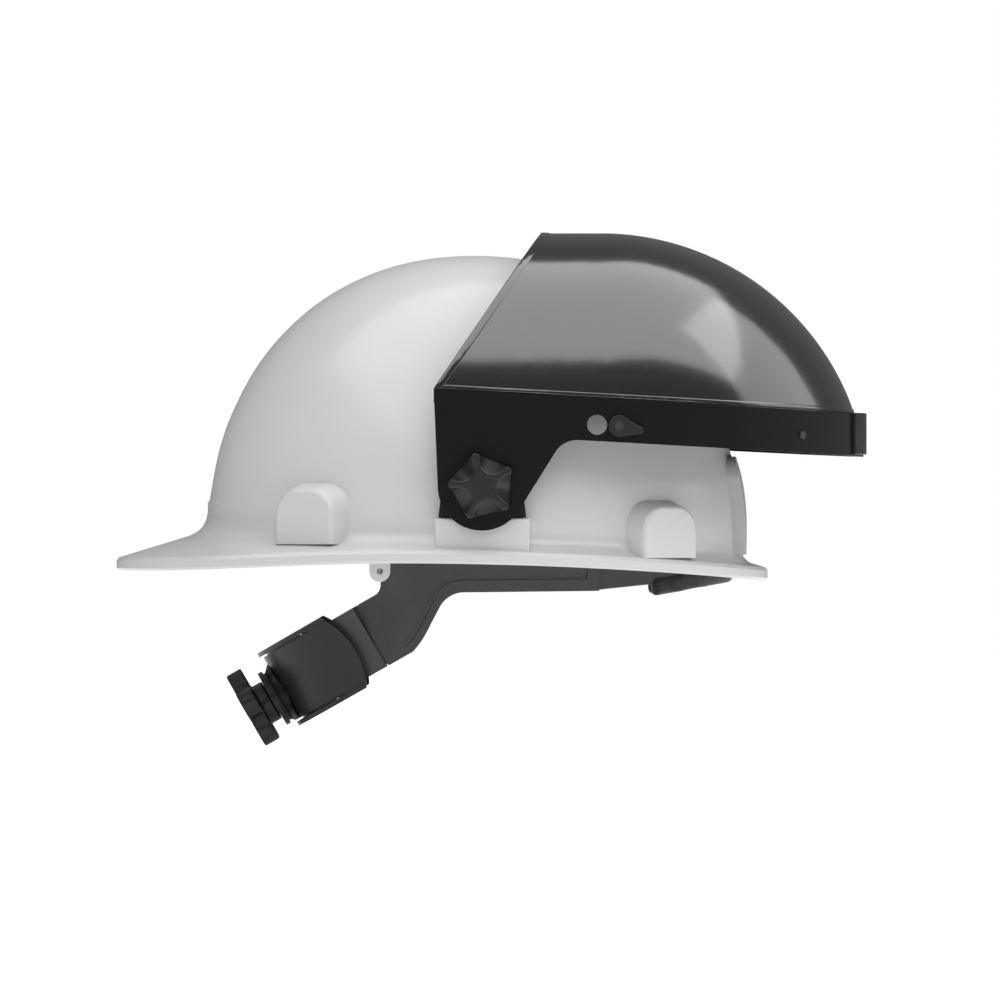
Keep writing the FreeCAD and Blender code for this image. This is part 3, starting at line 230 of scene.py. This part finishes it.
def makeWeaveGroup():
    # plain weave from two crossing waves; its colour has painted light on the raised crossings and painted
    # shade in the dips between them, plus a random fuzz tone
    group = bpy.data.node_groups.new("wovenYarn", "ShaderNodeTree")
    nodeSocket(group, "Vector", "NodeSocketVector")
    nodeSocket(group, "Across", "NodeSocketFloat", value=900)
    nodeSocket(group, "Along", "NodeSocketFloat", value=900)
    nodeSocket(group, "Fuzz", "NodeSocketFloat", value=0.3)
    nodeSocket(group, "Shade", "NodeSocketFloat", True)
    nodeSocket(group, "Height", "NodeSocketFloat", True)
    nodes, links = group.nodes, group.links
    given = nodes.new("NodeGroupInput")
    result = nodes.new("NodeGroupOutput")
    split = nodes.new("ShaderNodeSeparateXYZ")
    links.new(given.outputs["Vector"], split.inputs[0])

    maths = mathsIn(group)
    warp = maths("SINE", maths("MULTIPLY", split.outputs[0], given.outputs["Across"]))
    weft = maths("SINE", maths("MULTIPLY", split.outputs[1], given.outputs["Along"]))
    cross = maths("MULTIPLY", warp, weft)
    fuzz = nodes.new("ShaderNodeTexNoise")
    fuzz.inputs["Scale"].default_value = weavePattern["fuzzScale"]
    fuzz.inputs["Detail"].default_value = weavePattern["fuzzDetail"]
    links.new(given.outputs["Vector"], fuzz.inputs["Vector"])
    fuzzShare = maths("MULTIPLY", maths("SUBTRACT", fuzz.outputs["Fac"], 0.5), given.outputs["Fuzz"])
    height = maths("MULTIPLY_ADD", cross, 0.5, 0.5)
    links.new(maths("ADD", height, fuzzShare), result.inputs["Height"])
    # painted light and shade: the colour follows the weave's height, lighter on the crossings and darker in
    # the dips; the fuzz adds a real random tone
    links.new(maths("MULTIPLY_ADD", cross, weavePattern["paintedWeaveShade"], fuzzShare), result.inputs["Shade"])
    return group


finishes = {
    # each plastic: colour, roughness, specular level, coat, and the size and strength of its grain
    "shell_white": dict(
        colour=(0.64, 0.64, 0.635), rough=0.30, level=0.5, coat=0.2,
        scale=900, grain=0.04, clouds=0.05, dust=0.0, bump=0.012),
    "crown_black": dict(
        colour=(0.007, 0.007, 0.0075), rough=0.20, level=0.8, coat=0.85,
        scale=900, grain=0.10, clouds=0.25, dust=0.10, bump=0.010),
    "carrier_black": dict(
        colour=(0.0045, 0.0045, 0.005), rough=0.34, level=0.20, coat=0.0,
        scale=2200, grain=0.30, clouds=0.22, dust=0.15, bump=0.05),
    "strip_black": dict(
        colour=(0.006, 0.006, 0.0065), rough=0.32, level=0.3, coat=0.0,
        scale=2200, grain=0.3, clouds=0.2, dust=0.1, bump=0.05),
    "adapter_black": dict(
        colour=(0.006, 0.006, 0.006), rough=0.42, level=0.3, coat=0.0,
        scale=2200, grain=0.3, clouds=0.15, dust=0.1, bump=0.05),
    "knob_black": dict(
        colour=(0.013, 0.013, 0.014), rough=0.36, level=0.42, coat=0.0,
        scale=2000, grain=0.3, clouds=0.2, dust=0.15, bump=0.05),
    "latch_black": dict(
        colour=(0.013, 0.013, 0.014), rough=0.30, level=0.5, coat=0.0,
        scale=2000, grain=0.25, clouds=0.15, dust=0.1, bump=0.04),
    "dark_pin": dict(
        colour=(0.04, 0.04, 0.042), rough=0.28, level=0.5, coat=0.0,
        scale=2500, grain=0.2, clouds=0.1, dust=0.0, bump=0.03),
    "band_grey": dict(
        colour=(0.062, 0.062, 0.063), rough=0.44, level=0.4, coat=0.0,
        scale=1600, grain=0.25, clouds=0.25, dust=0.1, bump=0.05),
    "key_grey": dict(
        colour=(0.040, 0.040, 0.041), rough=0.42, level=0.4, coat=0.0,
        scale=1600, grain=0.3, clouds=0.2, dust=0.1, bump=0.05),
    "case_charcoal": dict(
        colour=(0.014, 0.014, 0.015), rough=0.36, level=0.36, coat=0.0,
        scale=1900, grain=0.3, clouds=0.25, dust=0.15, bump=0.06),
    "dial_black": dict(
        colour=(0.015, 0.015, 0.016), rough=0.36, level=0.42, coat=0.0,
        scale=1900, grain=0.3, clouds=0.2, dust=0.15, bump=0.06),
    "nylon": dict(
        colour=(0.55, 0.54, 0.50), rough=0.42, level=0.5, coat=0.0,
        scale=1500, grain=0.15, clouds=0.15, dust=0.0, bump=0.04),
    "washer_nylon": dict(
        colour=(0.02, 0.02, 0.02), rough=0.5, level=0.4, coat=0.0,
        scale=1500, grain=0.2, clouds=0.1, dust=0.0, bump=0.04),
}

metals = {
    "steel": dict(colour=(0.56, 0.56, 0.57), rough=0.32, scale=2600),
    "brass": dict(colour=(0.72, 0.52, 0.24), rough=0.30, scale=2600),
}

cloths = {
    # yarns are counted per metre of the piece's own map or of the object
    "crown_tape": dict(
        mapped=True, colour=(0.075, 0.075, 0.078), sheen=0.3,
        across=5200, along=5200, fuzz=0.35, bump=0.35),
    "patch_cloth": dict(
        mapped=False, colour=(0.030, 0.030, 0.031), sheen=0.3,
        across=4200, along=4200, fuzz=0.4, bump=0.3),
    "sweat_cloth": dict(
        mapped=False, colour=(0.016, 0.016, 0.017), sheen=0.25,
        across=3600, along=3600, fuzz=0.5, bump=0.3),
    "pad_cloth": dict(
        mapped=False, colour=(0.020, 0.020, 0.021), sheen=0.25,
        across=3600, along=3600, fuzz=0.5, bump=0.3),
}


def shadedColour(tree, colour, shade, swing):
    # the base colour, made a little lighter or darker by a mask
    mix = tree.nodes.new("ShaderNodeMix")
    mix.data_type = "RGBA"
    mix.blend_type = "MULTIPLY"
    mix.inputs["Factor"].default_value = 1
    mix.inputs["A"].default_value = (*colour, 1)
    gain = tree.nodes.new("ShaderNodeMath")
    gain.operation = "MULTIPLY_ADD"
    tree.links.new(shade, gain.inputs[0])
    gain.inputs[1].default_value = swing
    gain.inputs[2].default_value = 1
    tree.links.new(gain.outputs[0], mix.inputs["B"])
    return mix.outputs["Result"]


def bumpFrom(tree, height, strength, distance):
    bump = tree.nodes.new("ShaderNodeBump")
    bump.inputs["Strength"].default_value = strength
    bump.inputs["Distance"].default_value = distance
    tree.links.new(height, bump.inputs["Height"])
    return bump.outputs["Normal"]


gloss = {
    "roughSwing": 0.4,
    "plasticDepth": 0.0004,    # height of the grain in metres
    "clothDepth": 0.0005,
    "clothSwing": 1.6,
    "clothRoughness": 0.85,
    "coatRoughness": 0.14,
    "coatIor": 1.9,
}


def plasticMaterial(slot, looks, group):
    material = bpy.data.materials.new(slot)
    material.use_nodes = True
    tree = material.node_tree
    shader = tree.nodes["Principled BSDF"]
    coords = tree.nodes.new("ShaderNodeTexCoord")
    effect = tree.nodes.new("ShaderNodeGroup")
    effect.node_tree = group
    tree.links.new(coords.outputs["Object"], effect.inputs["Vector"])
    for name, key in (("Grain Scale", "scale"), ("Grain", "grain"), ("Clouds", "clouds"), ("Dust", "dust")):
        effect.inputs[name].default_value = looks[key]
    colour = shadedColour(tree, looks["colour"], effect.outputs["Shade"], 1)
    tree.links.new(colour, shader.inputs["Base Color"])
    rough = tree.nodes.new("ShaderNodeMath")
    rough.operation = "MULTIPLY_ADD"
    tree.links.new(effect.outputs["Rough Shift"], rough.inputs[0])
    rough.inputs[1].default_value = gloss["roughSwing"]
    rough.inputs[2].default_value = looks["rough"]
    tree.links.new(rough.outputs[0], shader.inputs["Roughness"])
    bump = bumpFrom(tree, effect.outputs["Height"], looks["bump"], gloss["plasticDepth"])
    tree.links.new(bump, shader.inputs["Normal"])
    shader.inputs["Specular IOR Level"].default_value = looks["level"]
    shader.inputs["Coat Weight"].default_value = looks["coat"]
    shader.inputs["Coat Roughness"].default_value = gloss["coatRoughness"]
    shader.inputs["Coat IOR"].default_value = gloss["coatIor"]
    return material


metalFinish = dict(level=0.5, coat=0.0, grain=0.4, clouds=0.2, dust=0.0, bump=0.05)


def metalMaterial(slot, looks, group):
    material = plasticMaterial(slot, dict(looks, **metalFinish), group)
    material.node_tree.nodes["Principled BSDF"].inputs["Metallic"].default_value = 1
    return material


def clothMaterial(slot, looks, group):
    material = bpy.data.materials.new(slot)
    material.use_nodes = True
    tree = material.node_tree
    shader = tree.nodes["Principled BSDF"]
    coords = tree.nodes.new("ShaderNodeTexCoord")
    effect = tree.nodes.new("ShaderNodeGroup")
    effect.node_tree = group
    tree.links.new(coords.outputs["UV" if looks["mapped"] else "Object"], effect.inputs["Vector"])
    effect.inputs["Across"].default_value = looks["across"]
    effect.inputs["Along"].default_value = looks["along"]
    effect.inputs["Fuzz"].default_value = looks["fuzz"]
    # the cloth's colour carries the weave's painted light and shade, and its random fuzz tone
    colour = shadedColour(tree, looks["colour"], effect.outputs["Shade"], gloss["clothSwing"])
    tree.links.new(colour, shader.inputs["Base Color"])
    bump = bumpFrom(tree, effect.outputs["Height"], looks["bump"], gloss["clothDepth"])
    tree.links.new(bump, shader.inputs["Normal"])
    shader.inputs["Roughness"].default_value = gloss["clothRoughness"]
    shader.inputs["Sheen Weight"].default_value = looks["sheen"]
    shader.inputs["Sheen Roughness"].default_value = 0.5
    return material


def makeMaterials():
    moulded = makeMouldedGroup()
    woven = makeWeaveGroup()
    made = {slot: plasticMaterial(slot, looks, moulded) for slot, looks in finishes.items()}
    made.update({slot: metalMaterial(slot, looks, moulded) for slot, looks in metals.items()})
    made.update({slot: clothMaterial(slot, looks, woven) for slot, looks in cloths.items()})
    print("materials:", len(made))
    return made


# moulded parts: a copy of each listed plastic node with its corners rounded

moulding = {
    "weld": 0.00001,
    "flatWithin": math.radians(0.6),
    "sharpFrom": math.radians(40),
    "smoothTo": math.radians(50),
    "padRelax": 4,
    "padFrames": 20,
    "padQuality": 5,
}
slotOf = {row["node"]: row["material_slot"] for row in frame["record"]["subparts"]}
bodyOf = {node: body for body, nodes in frame["record"]["behaviour"]["bodies"].items() for node in nodes}


def selectOnly(piece):
    bpy.ops.object.select_all(action="DESELECT")
    piece.select_set(True)
    bpy.context.view_layer.objects.active = piece


def copyOfNode(node, name):
    # a node's mesh as one closed skin, ready to be worked on
    piece = frame["nodes"][node].copy()
    piece.data = piece.data.copy()
    piece.name = name
    bpy.context.collection.objects.link(piece)
    selectOnly(piece)
    bpy.ops.object.mode_set(mode="EDIT")
    bpy.ops.mesh.select_all(action="SELECT")
    bpy.ops.mesh.remove_doubles(threshold=moulding["weld"])
    bpy.ops.object.mode_set(mode="OBJECT")
    piece.data.materials.clear()
    piece.data.materials.append(materials[slotOf[node]])
    return piece


def applyAll(piece):
    selectOnly(piece)
    for modifier in list(piece.modifiers):
        bpy.ops.object.modifier_apply(modifier=modifier.name)


def finishPiece(piece, node, replacing=True):
    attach(piece, bodyOf[node])
    if replacing:
        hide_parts(node)


def bevelledPart(node, width):
    # flat faces made whole again, then every sharp edge given a small round
    piece = copyOfNode(node, node + "_moulded")
    bpy.ops.object.mode_set(mode="EDIT")
    bpy.ops.mesh.select_all(action="SELECT")
    bpy.ops.mesh.dissolve_limited(angle_limit=moulding["flatWithin"])
    bpy.ops.object.mode_set(mode="OBJECT")
    edge = piece.modifiers.new("edge", "BEVEL")
    edge.width = width
    edge.segments = 3
    edge.limit_method = "ANGLE"
    edge.angle_limit = moulding["sharpFrom"]
    edge.harden_normals = False
    shade = piece.modifiers.new("shade", "WEIGHTED_NORMAL")
    shade.keep_sharp = False
    bpy.ops.object.shade_smooth()
    applyAll(piece)
    finishPiece(piece, node)


def softenedPart(node, grain, passes):
    # remeshed at the grain's size and relaxed, for knobs with no flat faces
    piece = copyOfNode(node, node + "_moulded")
    skin = piece.modifiers.new("skin", "REMESH")
    skin.mode = "VOXEL"
    skin.voxel_size = grain
    skin.use_smooth_shade = True
    relax = piece.modifiers.new("relax", "SMOOTH")
    relax.factor = 0.5
    relax.iterations = passes
    applyAll(piece)
    finishPiece(piece, node)


def dressNodes():
    for name, node in frame["nodes"].items():
        for holder in node.material_slots:
            holder.material = materials[slotOf[name]]


bevels = {
    # node: width of the round in metres
    "carrier_frame": 0.0006, "front_strip": 0.0003, "window_latch": 0.0005, "slot_adapter": 0.0004,
    "nape_strap": 0.0004, "rack": 0.0002, "ratchet_case": 0.0004, "case_cover": 0.0003, "key_front": 0.0003,
    "key_rear": 0.0003, "headband": 0.0004,
}
knobs = {
    # node: grain and relaxing passes
    "star_knob": (0.00035, 9), "ratchet_knob": (0.00045, 9),
}

materials = makeMaterials()
dressNodes()
for node in sorted(frame["nodes"]):
    kind = node.removesuffix("_left").removesuffix("_right")
    if kind in bevels:
        bevelledPart(node, bevels[kind])
    elif kind in knobs:
        softenedPart(node, *knobs[kind])
print("moulded parts done")


# crown: a rolled rim at the rear and a lip along the foot

rim = {
    "pivot": (0.0280, 0, 0.1603),      # top of the slanting rear rim
    "foot": (-0.0202, 0, 0.0893),      # foot of the rear rim
    "width": 0.0026,
    "proud": 0.0005,
}
lip = {
    "height": 0.0893,                  # at the rear foot
    "fall": math.tan(math.radians(3.1)),
    "width": 0.0016,
    "proud": 0.0004,
    "lift": 0.0004,
}


def cutAway(place, normal, outer):
    bpy.ops.mesh.select_all(action="SELECT")
    bpy.ops.mesh.bisect(plane_co=place, plane_no=normal, use_fill=True,
                        clear_outer=outer, clear_inner=not outer)


def fattened(piece, proud):
    bpy.ops.mesh.select_all(action="SELECT")
    bpy.ops.mesh.normals_make_consistent(inside=False)
    bpy.ops.transform.shrink_fatten(value=proud)
    bpy.ops.object.mode_set(mode="OBJECT")
    edge = piece.modifiers.new("edge", "BEVEL")
    edge.width = proud
    edge.segments = 3
    edge.limit_method = "ANGLE"
    edge.angle_limit = moulding["smoothTo"]
    applyAll(piece)
    bpy.ops.object.shade_smooth_by_angle(angle=moulding["smoothTo"])
    finishPiece(piece, "crown_protector", replacing=False)


def makeRimBead():
    foot, top = Vector(rim["foot"]), Vector(rim["pivot"])
    along = (top - foot).normalized()
    forward = Vector((along.z, 0, -along.x))
    piece = copyOfNode("crown_protector", "crown_rim_bead")
    bpy.ops.object.mode_set(mode="EDIT")
    cutAway(foot + forward * rim["width"], forward, True)
    cutAway((0, 0, lip["height"]), (0, 0, 1), False)
    fattened(piece, rim["proud"])


def makeLip():
    piece = copyOfNode("crown_protector", "crown_foot_lip")
    bpy.ops.object.mode_set(mode="EDIT")
    place = Vector((rim["foot"][0], 0, lip["height"] + lip["lift"]))
    up = Vector((lip["fall"], 0, 1)).normalized()
    cutAway(place, up, False)
    cutAway(place + up * lip["width"], up, True)
    fattened(piece, lip["proud"])


makeRimBead()
makeLip()
print("crown trim done")


# soft goods

tape = {
    "width": 0.020,
    "thick": 0.0011,
    "edgeShare": 0.35,       # of the thickness, for the round at its edges
    "foot": 0.024,
    "rise": 0.092,
    "arch": 0.8,
    "columns": 8,
    "rows": 120,
}
tapes = {
    # node: rear foot, front foot, how much lower it lies, and the keys that hold it
    "crown_strap_upper": ((-0.06833, 0.0748), (0.07345, -0.06775), 0.0,
                          ["key_rear_left", "key_front_right"]),
    "crown_strap_lower": ((-0.06833, -0.0748), (0.07345, 0.06775), 0.0018,
                          ["key_rear_right", "key_front_left"]),
}


def archPoint(share, half, rise):
    turn = math.pi * share
    lean = math.cos(turn)
    across = half * math.copysign(abs(lean) ** tape["arch"], lean)
    return across, tape["foot"] + rise * math.sin(turn) ** tape["arch"]


def makeTape(node):
    rear, front, drop, keys = tapes[node]
    rear, front = Vector((*rear, 0)), Vector((*front, 0))
    half = (front - rear).length / 2 - tape["thick"] / 2
    rise = tape["rise"] - drop - tape["thick"] / 2
    run = (front - rear).normalized()
    side = Vector((-run.y, run.x, 0))
    middle = (rear + front) / 2
    steps = [archPoint(row / tape["rows"], half, rise) for row in range(tape["rows"] + 1)]
    lengths = [0.0]
    for (x0, z0), (x1, z1) in zip(steps, steps[1:]):
        lengths.append(lengths[-1] + math.hypot(x1 - x0, z1 - z0))
    selectNothing()
    bpy.ops.mesh.primitive_grid_add(x_subdivisions=tape["columns"], y_subdivisions=tape["rows"], size=1)
    piece = bpy.context.object
    piece.name = node + "_webbing"
    sheetMap = piece.data.uv_layers.active.data
    for loop in piece.data.loops:
        place = piece.data.vertices[loop.vertex_index].co
        row = round((place.y + 0.5) * tape["rows"])
        sheetMap[loop.index].uv = ((place.x + 0.5) * tape["width"], lengths[row])
    for vertex in piece.data.vertices:
        row = round((vertex.co.y + 0.5) * tape["rows"])
        across = vertex.co.x * tape["width"]
        x, z = steps[row]
        vertex.co = middle + run * x + side * across + Vector((0, 0, z))
    wall = piece.modifiers.new("wall", "SOLIDIFY")
    wall.thickness = tape["thick"]
    wall.offset = 0
    edge = piece.modifiers.new("edge", "BEVEL")
    edge.width = tape["thick"] * tape["edgeShare"]
    edge.segments = 2
    edge.limit_method = "ANGLE"
    applyAll(piece)
    bpy.ops.object.shade_smooth_by_angle(angle=moulding["smoothTo"])
    piece.data.materials.append(materials[slotOf[node]])
    finishPiece(piece, node)


def selectNothing():
    bpy.ops.object.select_all(action="DESELECT")


pads = {
    # node: voxel, pressure, cap on movement, fill
    "sweatband": (0.0018, 3.0, 0.0012, 0.45),
    "nape_pad": (0.0018, 3.0, 0.0014, 0.5),
}


def inflate(piece, pressure, cap):
    start = [vertex.co.copy() for vertex in piece.data.vertices]
    cloth = piece.modifiers.new("cloth", "CLOTH")
    cloth.settings.use_pressure = True
    cloth.settings.uniform_pressure_force = pressure
    cloth.settings.effector_weights.gravity = 0
    cloth.settings.quality = moulding["padQuality"]
    cloth.point_cache.frame_end = moulding["padFrames"]
    for frameNumber in range(1, moulding["padFrames"] + 1):
        scene.frame_set(frameNumber)
    applyAll(piece)
    for vertex, before in zip(piece.data.vertices, start):
        move = vertex.co - before
        if move.length > cap:
            vertex.co = before + move * (cap / move.length)
    scene.frame_set(1)


def makePad(node):
    voxel, pressure, cap, fill = pads[node]
    piece = copyOfNode(node, node + "_padding")
    skin = piece.modifiers.new("skin", "REMESH")
    skin.mode = "VOXEL"
    skin.voxel_size = voxel
    relax = piece.modifiers.new("relax", "SMOOTH")
    relax.factor = 0.5
    relax.iterations = moulding["padRelax"]
    applyAll(piece)
    inflate(piece, pressure, cap)
    finer = piece.modifiers.new("finer", "SUBSURF")
    finer.levels = 1
    finer.render_levels = 1
    applyAll(piece)
    bpy.ops.object.shade_smooth()
    finishPiece(piece, node)


patch = {
    "size": 0.024,
    "thick": 0.001,
    "corner": 0.003,
    "cornerSteps": 5,
}


def makePatch():
    low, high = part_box("crown_patch")
    middle = (Vector(low) + Vector(high)) / 2
    selectNothing()
    bpy.ops.mesh.primitive_plane_add(size=patch["size"], location=(0, 0, 0))
    piece = bpy.context.object
    piece.name = "crown_patch_cloth"
    bpy.ops.object.mode_set(mode="EDIT")
    bpy.ops.mesh.select_all(action="SELECT")
    bpy.ops.mesh.bevel(offset=patch["corner"], segments=patch["cornerSteps"], affect="VERTICES")
    bpy.ops.mesh.inset(thickness=patch["corner"] * 0.5, depth=0)
    bpy.ops.mesh.select_all(action="SELECT")
    bpy.ops.transform.translate(value=middle)
    bpy.ops.object.mode_set(mode="OBJECT")
    wall = piece.modifiers.new("wall", "SOLIDIFY")
    wall.thickness = patch["thick"]
    wall.offset = 0
    applyAll(piece)
    bpy.ops.object.shade_smooth_by_angle(angle=moulding["smoothTo"])
    piece.data.materials.append(materials["patch_cloth"])
    finishPiece(piece, "crown_patch")


for node in tapes:
    makeTape(node)
makePatch()
for node in pads:
    makePad(node)
print("soft goods done")


# studio: view, soft boxes, room and floor

setUpView()
setUpSoftBoxes()
setUpRoom()
setUpFloor()
